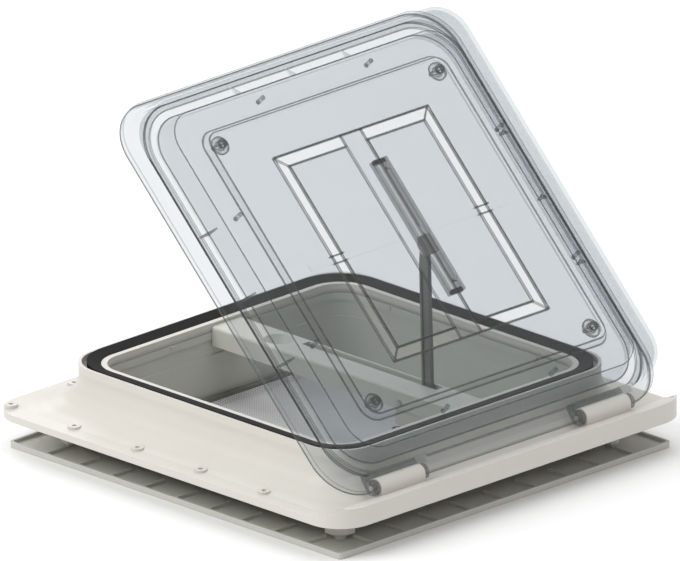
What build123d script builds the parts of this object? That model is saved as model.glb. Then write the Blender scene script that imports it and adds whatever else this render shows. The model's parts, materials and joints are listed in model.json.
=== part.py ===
from build123d import *
import math
import os

# A caravan roof hatch: a double-glazed lid that a crank raises on one arm, in a two-part clamped frame.
# The origin is the centre of the roof opening on the outside of the roof skin, with +Z up.
# The lid is hinged along +X and its free edge lies at -X. It is drawn closed, then turned to its rest angle.

os.makedirs("parts", exist_ok=True)

# Roof cut-out and general fits
CUTOUT_HALF = 200.0        # half of the square hole that is sawn in the roof
ROOF_THICKNESS = 28.0      # roof between the outer flange and the ceiling rim
FIT = 0.3                  # gap between mouldings that only sit together
RUN = 0.05                 # radial gap of a pin in its bore
SINK = 1.0                 # how far a fused or cutting piece reaches past the face it meets
SCREW_SIDES = 8            # flats of small fasteners and of their holes
BOSS_SIDES = 12            # flats of small bosses

# Outer frame
MOULD_WALL = 3.0
FLANGE_WIDTH = 45.0        # how far the flange covers the roof around the cut-out
FLANGE_R = 38.0
FLANGE_T = 7.0
NECK_GAP = 6.0             # between the neck and the edge of the cut-out
NECK_DEPTH = 22.0          # how far the neck hangs into the cut-out
COLLAR_R = 42.0
COLLAR_TOP = 55.5
FLARE_TOP = 39.0           # where the concave flare meets the upright collar
FLARE_BANDS = 5
FLARE_RIB_PITCH = 90.0
LEDGE_TOP = 20.0           # raised ledge that carries the hinges
LEDGE_WIDTH = 42.0         # from the foot of its ramp to the edge of the flange
LEDGE_CREST = 7.0          # flat part along the edge
LEDGE_STEPS = 5
LEDGE_RECESS = 4.8         # depth of the screw recesses in the ledge
POST_SIZE = 21.0
POST_CHAMFER = 10.0
ROOF_MARGIN = 1.0          # gap of the posts to the cut-out, and above the ceiling

# Flange screw holes, in raised rings
SCREW_INSET = 16.5         # from the edge of the flange
SCREW_PITCH = 87.85
SCREW_HOLE_R = 2.5
RING_R = 6.8
RING_TOP = 10.8
RECESS_R = 4.8

# White lip and lid seal
CLEAR_INSET = 30.0         # between the cut-out and the clear opening
LIP_BACK = 0.5             # the lip stands back from the clear opening
LIP_W = 6.0                # width of the lip's flat top
LIP_DROP = 2.4             # top of the lip below the collar
LIP_H = 9.1
LIP_R = 30.0
CHANNEL_DEPTH = 6.0
WEB_T = 2.5                # floor of the seal's channel
SEAL_STAND = 0.9           # how far the seal stands out of the collar
SEAL_DROP = 2.7            # the sealing face falls towards the opening
SEAL_R = 50.0

# Inner frame: a ribbed tray below the ceiling and a liner up to the lip
TRAY_OVERLAP = 30.0        # how far the tray covers the ceiling around the cut-out
TRAY_DEPTH = 6.0
TRAY_R = 4.0
TRAY_T = 2.5
LINER_WALL = 2.5
LINER_R = 30.0
LINER_FOOT_R = 1.5
LINER_STEP_Z = 20.0        # shallow panel that is sunk into the liner above this height
LINER_STEP = 1.2
BLIND_BOX_H = 9.0          # square foot of the liner above the ceiling, for net and blind
RIB_PITCH = 45.0
RIBS_ALONG = 9
RIB_T = 1.8
CLIP_W = 5.0               # lugs of the liner that snap under the lip
CLIP_H = 4.0
CLIP_T = 1.5
CLIP_X = 102.0
CLIP_Y = 63.0
CLAMP_R = 2.0
CLAMP_HEAD_R = 4.2
CLAMP_HEAD_T = 2.2
CLAMP_BOSS_R = 6.5
CLAMP_BITE = 15.0          # how far a clamp screw reaches up into its post

# Lid, with heights measured from the hinge axis when it is closed
HINGE_INSET = 22.5         # hinge axis inside the edge of the flange
HINGE_RISE = 5.2           # hinge axis above the ledge
REST_ANGLE = 45.0
LID_MARGIN = 14.6          # lid inside the edge of the flange on the three free sides
LID_OVERHANG = 3.7         # lid past the hinge axis
LID_R = 48.0
LID_BOTTOM = -2.0
LID_RIM_TOP = 4.7
LID_TOP = 47.5
LID_WALL = 3.0
LID_SHOULDER = 7.5         # width of the step between rim and wall
LID_DRAFT = 10.6
LID_TOP_R = 17.5
BEAD_X = 1.4               # centre of the rectangle that is pressed into the lid
BEAD_HALF_X = 119.3
BEAD_HALF_Y = 106.8
BEAD_W = 12.7
BEAD_DEPTH = 0.8
BEAD_R = 8.0
BEAD_INNER_R = 3.0
STRIP_HALF = 14.0
TIE_HALF_X = 4.0
TIE_HALF_Y = 142.0

# Inner pane
PANE_T = 2.5
PANE_FLANGE_Z = 10.1
PANE_MARGIN = 12.6         # edge of the pane inside the edge of the lid
PANE_FLANGE_W = 15.2
PANE_DRAFT = 14.5
PANE_LAND_W = 33.6         # from the foot of the wall to the foot of the step
PANE_STEP_DRAFT = 30.0
PANE_STEP_R = 18.0
PANE_GAP = 3.7             # air between the panel and the lid
PANE_R = 40.0
PANE_EDGE_R = 42.5
GUSSET_H = 12.0
GUSSET_T = 2.0
GUSSET_PITCH = 76.0
GUSSETS = 3
GUSSET_MARGIN = 3.0        # gussets inside the edge of the flange
SPACER_R = 2.6
SPACER_OUT = 12.5          # spacers outside the foot of the step
SPACER_OFFSET = 75.0
PLUG_IN = 18.0             # turn buttons inside the foot of the step
PLUG_R = 10.0
PLUG_H = 3.0
PLUG_SIDES = 20
PLUG_STEM_R = 3.5
PLUG_CAP_R = 5.0
PLUG_CAP_H = 2.0
PLUG_BAR_W = 3.0           # grip bar across a turn button
PLUG_BAR_H = 2.5

# Hinges
BARREL_R = 9.0
COVER_WALL = 2.5
BARREL_IN = 112.5
BARREL_LEN = 60.5
HINGE_PIN_R = 3.0
COVER_MARK_W = 8.0         # small recess in the top of each cover
COVER_MARK_L = 12.0
COVER_MARK = 0.9
LUG_T = 6.0
LUG_R = 8.0
LUG_GAP = 0.5
LUG_PLATE_T = 2.5
LUG_CLEAR = 2.0            # between the lug plate of the closed lid and the flare
NOTCH_GAP = 1.0            # between the lid's notches and the hinges

# Lift arm and its rail on the lid
ARM_INSET = 10.0           # arm inside the far side of the beam
ARM_FOOT_BACK = 123.78     # arm pivot from the hinge axis
ARM_FOOT_RISE = 8.48
ARM_LENGTH = 158.49
ARM_W = 12.0
ARM_T = 5.0
ARM_EYE_R = 4.2
ARM_HUB_R = 9.0
ARM_FLUTE = 1.2
PIVOT_R = 3.0
SHOE_PIN_R = 2.0
RAIL_NEAR = 152.0          # distance of the rail's ends from the hinge axis
RAIL_FAR = 308.0
RAIL_W = 18.0
RAIL_H = 9.1
RAIL_WALL = 1.8
RAIL_CAP = 4.0
RAIL_SCREW_R = 1.5
RAIL_SCREW_HEAD_R = 3.0
RAIL_SCREW_INSET = 12.0
SHOE_DROP = 2.28           # shoe pin below the rail at rest
SHOE_LEN = 20.0
SHOE_PLAY = 0.55           # free height of the shoe in the rail, which takes up the arm's path
SHOE_PIN_MEAN = 2.2        # mean height of the shoe pin below the rail over the whole swing
CHEEK_T = 1.8
CHEEK_R = 4.2

# Worm drive
GEAR_MODULE = 1.2
WHEEL_TEETH = 20
WHEEL_T = 5.0
WHEEL_GAP = 4.0            # between wheel and arm
TOOTH_ROOT = 0.53          # widths of teeth and thread as shares of the pitch
TOOTH_TIP = 0.24
THREAD_ROOT = 0.42
THREAD_TIP = 0.21
WORM_R = 5.0               # pitch radius
WORM_TURNS = 4
WORM_SIDES = 10            # steps of the helix in each turn
SHAFT_R = 3.0
SHAFT_SQUARE = 4.2         # square end of the shaft that carries the crank
BUSH_WALL = 1.95
COLLAR_H = 3.0

# Crossbeam and gearbox
BEAM_Y0 = -8.0
BEAM_W = 42.0
BEAM_DROP = 3.1            # top of the beam below the lip
BEAM_H = 20.0
BEAM_WALL = 2.5
BEAM_R = 3.0
SLOT_GAP = 2.7             # between the arm and the sides of its slot
SLOT_END = 12.2            # slot past the tip of the arm when it lies down
SLOT_HEEL = 16.3           # slot behind the arm's pivot
DISH_GAP = 11.0
DISH_R = 15.0
DISH_DEPTH = 9.0
DISH_DRAFT = 35.0
BOX_LEN = 80.0
BOX_DROP = 18.0            # gearbox below the beam
BOX_R = 4.0
BOX_SCREW_INSET = 9.0
BEAM_SCREW_R = 2.0
BEAM_SCREW_HEAD_R = 3.6
BOX_SCREW_R = 1.5
BOX_SCREW_HEAD_R = 3.0
SCREW_HEAD_T = 2.0

# Crank
CRANK_R = 36.0
CRANK_T = 5.0
CRANK_HUB_R = 8.0
CRANK_HUB_T = 6.5
CRANK_GAP = 1.5
CRANK_ANGLE = 215.0
CRANK_WAIST = 1.0          # how much the arm is narrower than its hubs
CRANK_BITE = 8.0
KNOB_R = 6.5
KNOB_LEN = 15.0
KNOB_WAIST = 1.0
KNOB_SIDES = 10
KNOB_PIN_R = 2.5
KNOB_HEAD = 1.5

# Insect net and blind
NET_DROP = 6.0             # net below the square foot's top
BLIND_DROP = 5.4           # blind below the net
CLOTH_T = 0.4
CLOTH_MARGIN = 11.0        # cloth inside the liner
ROLLER_BACK = 9.2          # roller axis outside the liner
ROLLER_R = 6.0
ROLLER_BORE_R = 4.8
ROLLER_MARGIN = 1.0        # how far the rollers reach past the cloth
ROLLER_END = 8.0
STUB_R = 1.5
STUB_LEN = 6.0
WOUND_T = 1.6
BRACKET_T = 2.5
BRACKET_R = 5.0
RAIL_DEPTH = 6.7
RAIL_BACK = 1.5
RAIL_RISE = 3.2            # side rails above the net
NET_GROOVE = 4.0
BLIND_GROOVE = 3.6
GROOVE_GAP = 0.4
BAR_W = 6.5
BAR_R = 1.2
NET_BAR_H = 6.4
BLIND_BAR_H = 4.0
GRIP_R = 5.0
GRIP_HALF = 30.0
NET_CELLS = 8
NET_STRAND = 2.0

# Places that follow from these sizes
FLANGE_HALF = CUTOUT_HALF + FLANGE_WIDTH
COLLAR_HALF = CUTOUT_HALF - NECK_GAP
SCREW_LINE = FLANGE_HALF - SCREW_INSET
LIP_TOP = COLLAR_TOP - LIP_DROP
LIP_BOTTOM = LIP_TOP - LIP_H
LINER_IN = CUTOUT_HALF - CLEAR_INSET
LINER_OUT = LINER_IN + LINER_WALL
LIP_IN = LINER_IN + LIP_BACK
LIP_OUT = LIP_IN + LIP_W
CHANNEL_OUT = COLLAR_HALF - MOULD_WALL
CHANNEL_FLOOR = COLLAR_TOP - CHANNEL_DEPTH
SEAL_TOP = COLLAR_TOP + SEAL_STAND
TRAY_HALF = CUTOUT_HALF + TRAY_OVERLAP
TRAY_BOTTOM = -ROOF_THICKNESS - TRAY_DEPTH
TRAY_FLOOR = TRAY_BOTTOM + TRAY_T
POST_LOW = ROOF_MARGIN - ROOF_THICKNESS
CLAMP_POINT = CUTOUT_HALF - ROOF_MARGIN - POST_SIZE / 2
BLIND_BOX_TOP = BLIND_BOX_H - ROOF_THICKNESS
NET_Z = BLIND_BOX_TOP - NET_DROP
BLIND_Z = NET_Z - BLIND_DROP
CLOTH_HALF = LINER_IN - CLOTH_MARGIN
HINGE_X = FLANGE_HALF - HINGE_INSET
HINGE_Z = LEDGE_TOP + HINGE_RISE
BARREL_OUT = BARREL_IN + BARREL_LEN
KNUCKLE_R = BARREL_R - COVER_WALL - FIT
LID_HALF_Y = FLANGE_HALF - LID_MARGIN
LID_FREE_X = -LID_HALF_Y
LID_HINGE_X = HINGE_X + LID_OVERHANG
BEAM_TOP = LIP_TOP - BEAM_DROP
BEAM_BOTTOM = BEAM_TOP - BEAM_H
BEAM_Y1 = BEAM_Y0 + BEAM_W
BOX_BOTTOM = BEAM_BOTTOM - BOX_DROP
ARM_Y = BEAM_Y1 - ARM_INSET
ARM_FOOT_X = HINGE_X - ARM_FOOT_BACK
ARM_FOOT_Z = HINGE_Z + ARM_FOOT_RISE
PANE_LAND_Z = SEAL_TOP + FIT - HINGE_Z
PANE_PANEL_Z = LID_TOP - LID_WALL - PANE_GAP - PANE_T
PANE_EDGE_Y = LID_HALF_Y - PANE_MARGIN
PANE_EDGE_X = LID_HINGE_X - PANE_MARGIN
PANE_FOOT = PANE_EDGE_Y - PANE_FLANGE_W
PANE_STEP = PANE_FOOT - PANE_LAND_W
RAIL_BOTTOM = PANE_PANEL_Z - RAIL_H


def save(shape, name):
    solids = shape.solids()
    print(name, len(solids), round(sum(s.volume for s in solids) / 1000, 2), shape.is_valid)
    export_step(shape, f"parts/{name}.step")


def slab(half_x, half_y, radius, z0, z1, centre_x=0.0, taper=0.0):
    """A rounded rectangle from z0 up to z1, its walls leaning inwards by taper degrees."""
    face = Pos(centre_x, 0, z0) * RectangleRounded(2 * half_x, 2 * half_y, radius)
    return extrude(face, amount=z1 - z0, dir=(0, 0, 1), taper=taper)


def square(half, radius, z0, z1, taper=0.0):
    return slab(half, half, radius, z0, z1, 0.0, taper)


def ring(outer, outer_r, inner, inner_r, z0, z1):
    return square(outer, outer_r, z0, z1) - square(inner, inner_r, z0 - SINK, z1 + SINK)


def block(x0, x1, y0, y1, z0, z1):
    return Pos((x0 + x1) / 2, (y0 + y1) / 2, (z0 + z1) / 2) * Box(x1 - x0, y1 - y0, z1 - z0)


def rod(radius, length, sides):
    """A rod about Z with its middle at the origin, round or with a number of flats."""
    if sides:
        return extrude(Pos(0, 0, -length / 2) * RegularPolygon(radius, sides), amount=length)
    return Cylinder(radius, length)


def rod_z(x, y, radius, z0, z1, sides=0):
    return Pos(x, y, (z0 + z1) / 2) * rod(radius, z1 - z0, sides)


def rod_y(x, z, radius, y0, y1, sides=0):
    return Pos(x, (y0 + y1) / 2, z) * Rot(90, 0, 0) * rod(radius, y1 - y0, sides)


def rod_x(y, z, radius, x0, x1, sides=0):
    return Pos((x0 + x1) / 2, y, z) * Rot(0, 90, 0) * rod(radius, x1 - x0, sides)


def span(sign, near, far):
    """The stretch from near to far on one side of the centre, its lower end first."""
    return sorted((sign * near, sign * far))


def side_plate(points, y0, y1):
    """A closed outline in X and Z, carried from y0 to y1."""
    outline = make_face(Polyline(*[(x, y0, z) for x, z in points], close=True))
    return extrude(outline, amount=y1 - y0, dir=(0, 1, 0))


def plan_plate(points, z0, z1):
    """A closed outline in X and Y, carried from z0 up to z1."""
    outline = make_face(Polyline(*[(x, y, z0) for x, y in points], close=True))
    return extrude(outline, amount=z1 - z0, dir=(0, 0, 1))


def joined(shapes):
    return Compound([solid for shape in shapes for solid in shape.solids()])


def at_rest(shape):
    """Turns a lid piece from the closed position, in which it is drawn, to its rest angle."""
    return shape.rotate(Axis((HINGE_X, 0, HINGE_Z), (0, 1, 0)), REST_ANGLE)


def set_at_rest(shapes):
    return joined([at_rest(shape) for shape in shapes])


def lid_z(height):
    return HINGE_Z + height


def corner_points(distance):
    return [(sx * distance, sy * distance) for sx in (-1, 1) for sy in (-1, 1)]


def row(count, pitch):
    """Places of count copies, a pitch apart, about the centre."""
    return [(i - (count - 1) / 2) * pitch for i in range(count)]


# Outer frame
def flare_height(half):
    """The concave quarter ellipse between the flange's edge and the collar."""
    run = (FLANGE_HALF - half) / (FLANGE_HALF - COLLAR_HALF)
    return FLARE_TOP - (FLARE_TOP - FLANGE_T) * math.sqrt(max(0.0, 1 - run * run))


def flare_half(height):
    """The half size at which the flare reaches a height, the inverse of flare_height."""
    fall = (FLARE_TOP - height) / (FLARE_TOP - FLANGE_T)
    return FLANGE_HALF - (FLANGE_HALF - COLLAR_HALF) * math.sqrt(1 - fall * fall)


def flare_halves():
    """Half sizes of the flare's bands, closer together where the curve is steep."""
    turns = [math.pi / 2 * i / FLARE_BANDS for i in range(FLARE_BANDS + 1)]
    return [FLANGE_HALF - (FLANGE_HALF - COLLAR_HALF) * math.sin(turn) for turn in turns]


def flare(inset, z0):
    """The body under the flare down to z0, its outside moved in by inset."""
    foot = 2 * (FLANGE_HALF - inset)
    sections = [Pos(0, 0, z0) * RectangleRounded(foot, foot, FLANGE_R - inset)]
    for half in flare_halves():
        share = (FLANGE_HALF - half) / (FLANGE_HALF - COLLAR_HALF)
        radius = FLANGE_R + (COLLAR_R - FLANGE_R) * share - inset
        size = 2 * (half - inset)
        sections.append(Pos(0, 0, flare_height(half) - inset) * RectangleRounded(size, size, radius))
    return loft(sections, ruled=True)


def ledge(inset, z0):
    """The raised hinge ledge: an S-shaped ramp from the flange up to a flat crest."""
    edge = FLANGE_HALF - inset
    start = FLANGE_HALF - LEDGE_WIDTH + inset
    run = LEDGE_WIDTH - LEDGE_CREST - inset
    foot = FLANGE_T - inset
    rise = LEDGE_TOP - FLANGE_T
    turns = [math.pi * i / LEDGE_STEPS for i in range(LEDGE_STEPS + 1)]
    ramp = [(start + run * turn / math.pi, foot + rise * (1 - math.cos(turn)) / 2) for turn in turns]
    outline = ramp + [(edge, foot + rise), (edge, z0), (start, z0)]
    return side_plate(outline, -edge, edge) & square(edge, FLANGE_R - inset, z0 - SINK, LEDGE_TOP + SINK)


def ring_points():
    """Screws of the two sides and of the free edge, between the corners."""
    steps = [SCREW_PITCH * i - SCREW_LINE for i in range(1, 5)]
    along = [(x, sign * SCREW_LINE) for x in steps for sign in (-1, 1)]
    across = [(-SCREW_LINE, sign * y) for y in steps[:2] for sign in (-1, 1)]
    return along + across


def corner_post(sx, sy):
    outer = CUTOUT_HALF - ROOF_MARGIN
    inner = outer - POST_SIZE
    cut = outer - POST_CHAMFER
    outline = [(inner, inner), (outer, inner), (outer, cut), (cut, outer), (inner, outer)]
    return plan_plate([(sx * x, sy * y) for x, y in outline], POST_LOW, FLANGE_T / 2)


def flare_rib(at, sx):
    """A stiffening rib in the hollow of the flare, on the side that sx and the turn choose."""
    sunk = MOULD_WALL / 2
    rib_end = HOLLOW_END + SINK
    start = COLLAR_HALF - sunk
    points = [(start, 0), (rib_end, 0), (rib_end, flare_height(rib_end) - sunk)]
    points += [(half, flare_height(half) - sunk) for half in flare_halves() if half < rib_end]
    points.append((start, FLARE_TOP - sunk))
    return side_plate([(sx * x, z) for x, z in points], at - RIB_T / 2, at + RIB_T / 2)


HOLLOW_END = SCREW_LINE - RING_R - SINK
over = COLLAR_TOP + SINK
bodies = [square(COLLAR_HALF, COLLAR_R, -NECK_DEPTH, COLLAR_TOP), ledge(0.0, 0.0)]
corner_rings = [(-SCREW_LINE, sign * SCREW_LINE) for sign in (-1, 1)]
bodies += [rod_z(x, y, RING_R, 0.0, RING_TOP, BOSS_SIDES) for x, y in ring_points() + corner_rings]
outer_frame = flare(0.0, 0.0) + bodies
limit = ring(HOLLOW_END, FLANGE_R, COLLAR_HALF, COLLAR_R, -SINK, COLLAR_TOP)
under = (flare(MOULD_WALL, -SINK) + ledge(MOULD_WALL, -SINK)) & limit
inner_r = COLLAR_R - MOULD_WALL
web_low = CHANNEL_FLOOR - WEB_T
channel = square(CHANNEL_OUT, inner_r, CHANNEL_FLOOR, over)
shaft = square(CHANNEL_OUT, inner_r, -NECK_DEPTH - SINK, web_low)
lip_ring = ring(LIP_OUT, LIP_R + LIP_W, LIP_IN, LIP_R, LIP_BOTTOM, LIP_TOP)
web = ring(CHANNEL_OUT + SINK, inner_r, LIP_OUT - SINK, LIP_R, web_low, CHANNEL_FLOOR)
clear = square(LIP_OUT - SINK, LIP_R, -NECK_DEPTH - SINK, over)
outer_frame = outer_frame - [under, channel, shaft, clear]
posts = [corner_post(sx, sy) for sx, sy in corner_points(1)]
ribs = [flare_rib(at, sx) for at in row(3, FLARE_RIB_PITCH) for sx in (-1, 1)]
ribs += [rib.rotate(Axis.Z, 90) for rib in ribs]
pedestals = []
holes = []
for sign in (-1, 1):
    y0, y1 = span(sign, BARREL_IN, BARREL_OUT)
    pedestals.append(block(HINGE_X - BARREL_R, HINGE_X + BARREL_R, y0, y1, FLANGE_T / 2, HINGE_Z))
    pedestals.append(rod_y(HINGE_X, HINGE_Z, KNUCKLE_R, y0, y1))
    holes.append(rod_y(HINGE_X, HINGE_Z, HINGE_PIN_R + RUN, y0 - SINK, y1 + SINK))
    recess_low = LEDGE_TOP - LEDGE_RECESS
    recess_at = sign * SCREW_LINE
    holes.append(rod_z(SCREW_LINE, recess_at, RECESS_R, recess_low, LEDGE_TOP + SINK, BOSS_SIDES))
outer_frame = outer_frame + ([lip_ring, web] + posts + ribs + pedestals)
holes += [rod_z(x, y, SCREW_HOLE_R, -SINK, LEDGE_TOP) for x, y in corner_points(SCREW_LINE)]
holes += [rod_z(x, y, SCREW_HOLE_R, -SINK, RING_TOP + SINK, SCREW_SIDES) for x, y in ring_points()]
pilot_top = POST_LOW + CLAMP_BITE + SINK
for x, y in corner_points(CLAMP_POINT):
    holes.append(rod_z(x, y, CLAMP_R + RUN, POST_LOW - SINK, pilot_top, SCREW_SIDES))
outer_frame = outer_frame - holes
save(outer_frame, "outer_frame")


# Lid seal
seal_out = CHANNEL_OUT - FIT
seal_in = LIP_OUT + FIT
seal_in_r = LIP_R + LIP_W
seal_face = SEAL_TOP - SEAL_DROP
seal = square(seal_out, SEAL_R, CHANNEL_FLOOR, SEAL_TOP)
seal = seal - square(seal_in, seal_in_r, CHANNEL_FLOOR - SINK, SEAL_TOP + SINK)
low = Pos(0, 0, seal_face) * RectangleRounded(2 * seal_in, 2 * seal_in, seal_in_r)
high = Pos(0, 0, SEAL_TOP) * RectangleRounded(2 * seal_out, 2 * seal_out, SEAL_R)
seal = seal - loft([low, high], ruled=True)
save(seal, "lid_seal")


# Inner frame
liner_top = LIP_BOTTOM - FIT
foot_r = LINER_FOOT_R + LINER_WALL
tray = square(TRAY_HALF, TRAY_R, TRAY_BOTTOM, -ROOF_THICKNESS)
tray = tray - square(TRAY_HALF - TRAY_T, TRAY_R - SINK, TRAY_FLOOR, 0)
foot = ring(LINER_OUT, foot_r, LINER_IN, LINER_FOOT_R, TRAY_FLOOR - SINK, BLIND_BOX_TOP)
liner = ring(LINER_OUT, LINER_R + LINER_WALL, LINER_IN, LINER_R, BLIND_BOX_TOP - LINER_WALL, liner_top)
shelf = square(LINER_OUT, foot_r, BLIND_BOX_TOP - LINER_WALL, BLIND_BOX_TOP)
shelf = shelf - square(LINER_IN, LINER_R, BLIND_BOX_TOP - 2 * LINER_WALL, BLIND_BOX_TOP + SINK)
panel_top = liner_top - 3 * LINER_WALL
recess = square(LINER_IN + LINER_STEP, LINER_R + LINER_STEP, LINER_STEP_Z, panel_top)
rib_in = CUTOUT_HALF - ROOF_MARGIN
ribs = []
for y in row(RIBS_ALONG, RIB_PITCH):
    y0, y1 = y - RIB_T / 2, y + RIB_T / 2
    rib = block(rib_in, TRAY_HALF - SINK, y0, y1, TRAY_FLOOR - SINK, -ROOF_THICKNESS)
    ribs += [rib.rotate(Axis.Z, 90 * turn) for turn in range(4)]
clips = []
for sign in (-1, 1):
    in0, in1 = span(sign, LINER_IN - CLIP_T, LINER_IN + SINK)
    for other in (-1, 1):
        x0, x1 = span(other, CLIP_X - CLIP_W / 2, CLIP_X + CLIP_W / 2)
        y0, y1 = span(other, CLIP_Y - CLIP_W / 2, CLIP_Y + CLIP_W / 2)
        clips.append(block(in0, in1, y0, y1, liner_top - CLIP_H, liner_top))
        clips.append(block(x0, x1, in0, in1, liner_top - CLIP_H, liner_top))
bosses = []
holes = []
head_top = TRAY_BOTTOM + CLAMP_HEAD_T
for x, y in corner_points(CLAMP_POINT):
    bosses.append(rod_z(x, y, CLAMP_BOSS_R, TRAY_FLOOR - SINK, POST_LOW - FIT, SCREW_SIDES))
    holes.append(rod_z(x, y, CLAMP_R + RUN, TRAY_BOTTOM - SINK, POST_LOW, SCREW_SIDES))
    holes.append(rod_z(x, y, CLAMP_HEAD_R + RUN, TRAY_BOTTOM - SINK, head_top, SCREW_SIDES))
slit_half = CLOTH_HALF + ROLLER_MARGIN
for sign, z in ((1, NET_Z), (-1, BLIND_Z)):
    x0, x1 = span(sign, LINER_IN - SINK, LINER_OUT + SINK)
    holes.append(block(x0, x1, -slit_half, slit_half, z - CLOTH_T - 2 * FIT, z + 2 * FIT))
beam_mid = (BEAM_TOP + BEAM_BOTTOM) / 2
beam_axis = (BEAM_Y0 + BEAM_Y1) / 2
beam_holes = []
for sign in (-1, 1):
    x0, x1 = span(sign, LINER_IN - 2 * BEAM_WALL, LINER_OUT + SINK)
    beam_holes.append(rod_x(beam_axis, beam_mid, BEAM_SCREW_R + RUN, x0, x1, SCREW_SIDES))
inner_frame = tray + ([foot, liner, shelf] + ribs + clips + bosses)
opening = square(LINER_IN, LINER_FOOT_R, TRAY_BOTTOM - SINK, BLIND_BOX_TOP - LINER_WALL)
inner_frame = inner_frame - ([opening, recess] + holes + beam_holes)
save(inner_frame, "inner_frame")

screws = []
for x, y in corner_points(CLAMP_POINT):
    shank = rod_z(x, y, CLAMP_R, head_top, POST_LOW + CLAMP_BITE, SCREW_SIDES)
    screws.append(shank + rod_z(x, y, CLAMP_HEAD_R, TRAY_BOTTOM, head_top, SCREW_SIDES))
save(joined(screws), "clamp_screws")


# Outer pane of the lid
def lid_body(inset):
    """The outside of the lid, or its inside when it is moved in by the wall."""
    centre_x = (LID_HINGE_X + LID_FREE_X) / 2
    half_x = (LID_HINGE_X - LID_FREE_X) / 2 - inset
    half_y = LID_HALF_Y - inset
    bottom = lid_z(LID_BOTTOM) - (SINK if inset else 0)
    rim_top = lid_z(LID_RIM_TOP) - inset
    low = slab(half_x, half_y, LID_R - inset, bottom, rim_top, centre_x)
    half_x = half_x - LID_SHOULDER
    half_y = half_y - LID_SHOULDER
    radius = LID_R - LID_SHOULDER - inset
    high = slab(half_x, half_y, radius, rim_top, lid_z(LID_TOP) - inset, centre_x, LID_DRAFT)
    edge = high.faces().sort_by(Axis.Z)[-1].edges()
    if inset:
        return low + chamfer(edge, (LID_TOP_R - inset) * math.tan(math.radians(90 - LID_DRAFT) / 2) * 0.75)
    return low + fillet(edge, LID_TOP_R)


notch_in = BARREL_IN - LUG_GAP - LUG_T - NOTCH_GAP
notch_out = BARREL_OUT + LUG_GAP + LUG_T + NOTCH_GAP
notch_r = BARREL_R + NOTCH_GAP
notch_x = HINGE_X - notch_r
lid_edge = LID_HINGE_X + SINK
bead_z = lid_z(LID_TOP) - BEAD_DEPTH
bead_end = lid_z(LID_TOP) + SINK
bead = slab(BEAD_HALF_X, BEAD_HALF_Y, BEAD_R, bead_z, bead_end, BEAD_X)
inner = (BEAD_HALF_X - BEAD_W, BEAD_HALF_Y - BEAD_W, BEAD_INNER_R)
bead = bead - slab(*inner, bead_z - SINK, bead_end + SINK, BEAD_X)
strip_half = BEAD_HALF_X - BEAD_W / 2
strip = block(BEAD_X - strip_half, BEAD_X + strip_half, -STRIP_HALF, STRIP_HALF, bead_z, bead_end)
tie = block(BEAD_X - TIE_HALF_X, BEAD_X + TIE_HALF_X, -TIE_HALF_Y, TIE_HALF_Y, bead_z, bead_end)
outer_pane = lid_body(0.0) - [lid_body(LID_WALL), bead + strip + tie]
pockets = []
notches = []
for sign in (-1, 1):
    y0, y1 = span(sign, notch_in, notch_out)
    roof = lid_z(notch_r + LID_WALL)
    wide = block(notch_x - LID_WALL, lid_edge, y0 - LID_WALL, y1 + LID_WALL, lid_z(LID_BOTTOM), roof)
    pockets.append(wide & lid_body(0.0))
    notches.append(block(notch_x, lid_edge, y0, y1, lid_z(LID_BOTTOM) - SINK, lid_z(notch_r)))
outer_pane = (outer_pane + pockets) - notches
save(at_rest(outer_pane), "outer_pane")


# Inner pane of the lid
def pane_body(inset):
    """The stepped dome of the inner pane, or its inside when it is moved in by the sheet."""
    foot = lid_z(PANE_FLANGE_Z) - (SINK if inset else 0)
    land = lid_z(PANE_LAND_Z + PANE_T) - inset
    wall = square(PANE_FOOT - inset, PANE_R - inset, foot, land, PANE_DRAFT)
    top = lid_z(PANE_PANEL_Z + PANE_T) - inset
    step = square(PANE_STEP - inset, PANE_STEP_R - inset, land, top, PANE_STEP_DRAFT)
    return wall + step


panel_low = lid_z(PANE_PANEL_Z)
panel_high = panel_low + PANE_T
flange_low = lid_z(PANE_FLANGE_Z)
flange_x = (PANE_EDGE_X - PANE_EDGE_Y) / 2
flange_half = (PANE_EDGE_X + PANE_EDGE_Y) / 2
flange = slab(flange_half, PANE_EDGE_Y, PANE_EDGE_R, flange_low, flange_low + PANE_T, flange_x)
inner_pane = (flange + pane_body(0.0)) - pane_body(PANE_T)
gusset_z = flange_low + PANE_T / 2
gusset_x = SINK - PANE_FOOT
lean = GUSSET_H * math.tan(math.radians(PANE_DRAFT))
gusset_end = GUSSET_MARGIN - PANE_EDGE_Y
outline = [(gusset_x, gusset_z), (gusset_end, gusset_z), (gusset_x + lean, gusset_z + GUSSET_H)]
gussets = [side_plate(outline, y - GUSSET_T / 2, y + GUSSET_T / 2) for y in row(GUSSETS, GUSSET_PITCH)]
inner_pane = inner_pane + gussets
room = LID_WALL + FIT
cuts = []
for sign in (-1, 1):
    y0, y1 = span(sign, notch_in - room, notch_out + room)
    cuts.append(block(notch_x - room, HINGE_X, y0, y1, 0, lid_z(notch_r + room)))
rail_x0 = HINGE_X - RAIL_FAR
rail_x1 = HINGE_X - RAIL_NEAR
rail_screw_xs = [rail_x0 + RAIL_SCREW_INSET, rail_x1 - RAIL_SCREW_INSET]
below = panel_low - SINK
above = panel_high + SINK
plug_line = PANE_STEP - PLUG_IN
cuts += [rod_z(x, y, PLUG_STEM_R + RUN, below, above, BOSS_SIDES) for x, y in corner_points(plug_line)]
cuts += [rod_z(x, ARM_Y, RAIL_SCREW_R + RUN, below, above, SCREW_SIDES) for x in rail_screw_xs]
inner_pane = inner_pane - cuts
save(at_rest(inner_pane), "inner_pane")

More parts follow.
